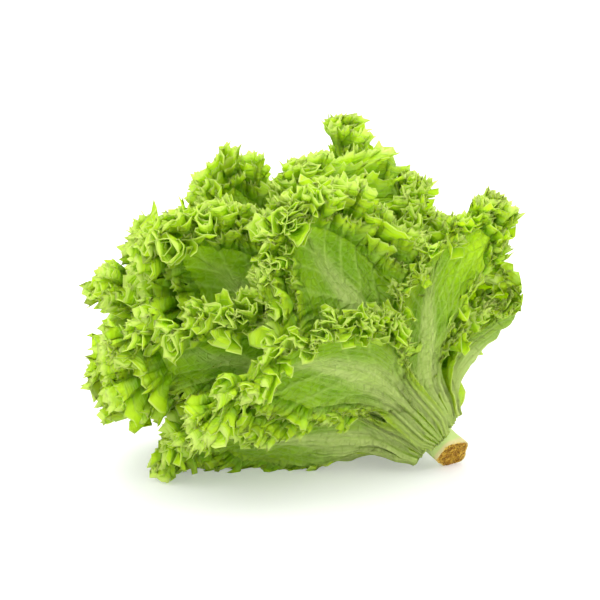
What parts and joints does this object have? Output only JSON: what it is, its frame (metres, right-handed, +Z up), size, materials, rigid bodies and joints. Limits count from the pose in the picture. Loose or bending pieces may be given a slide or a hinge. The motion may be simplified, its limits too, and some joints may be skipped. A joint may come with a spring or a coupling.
{
  "type": "lettuce head",
  "caption": "Curly leaf lettuce head, cut at its stem and lying on its side, with frilled leaves fanning out from the stem.",
  "frame": {"origin": "on the table, under the middle of the head's bounding box", "axes": "+X towards the cut stem's end, -Y towards the side shown in the picture, +Z up from the table"},
  "size_m": [0.3, 0.2506, 0.2316],
  "materials": {
    "leaf": "satin, pale green rib, bright yellow-green frilled edge",
    "stem": "matte, browned cut with a pale rim"
  },
  "bodies": {
    "root": {"stem": "stem", "outer_leaf_1": "leaf", "outer_leaf_2": "leaf", "outer_leaf_3": "leaf", "outer_leaf_4": "leaf", "outer_leaf_5": "leaf", "outer_leaf_6": "leaf", "outer_leaf_7": "leaf", "outer_leaf_8": "leaf", "middle_leaf_1": "leaf", "middle_leaf_2": "leaf", "middle_leaf_3": "leaf", "middle_leaf_4": "leaf", "middle_leaf_5": "leaf", "middle_leaf_6": "leaf", "middle_leaf_7": "leaf", "inner_leaf_1": "leaf", "inner_leaf_2": "leaf", "inner_leaf_3": "leaf", "inner_leaf_4": "leaf", "inner_leaf_5": "leaf", "heart_leaf_1": "leaf", "heart_leaf_2": "leaf", "heart_leaf_3": "leaf"}
  },
  "joints": []
}
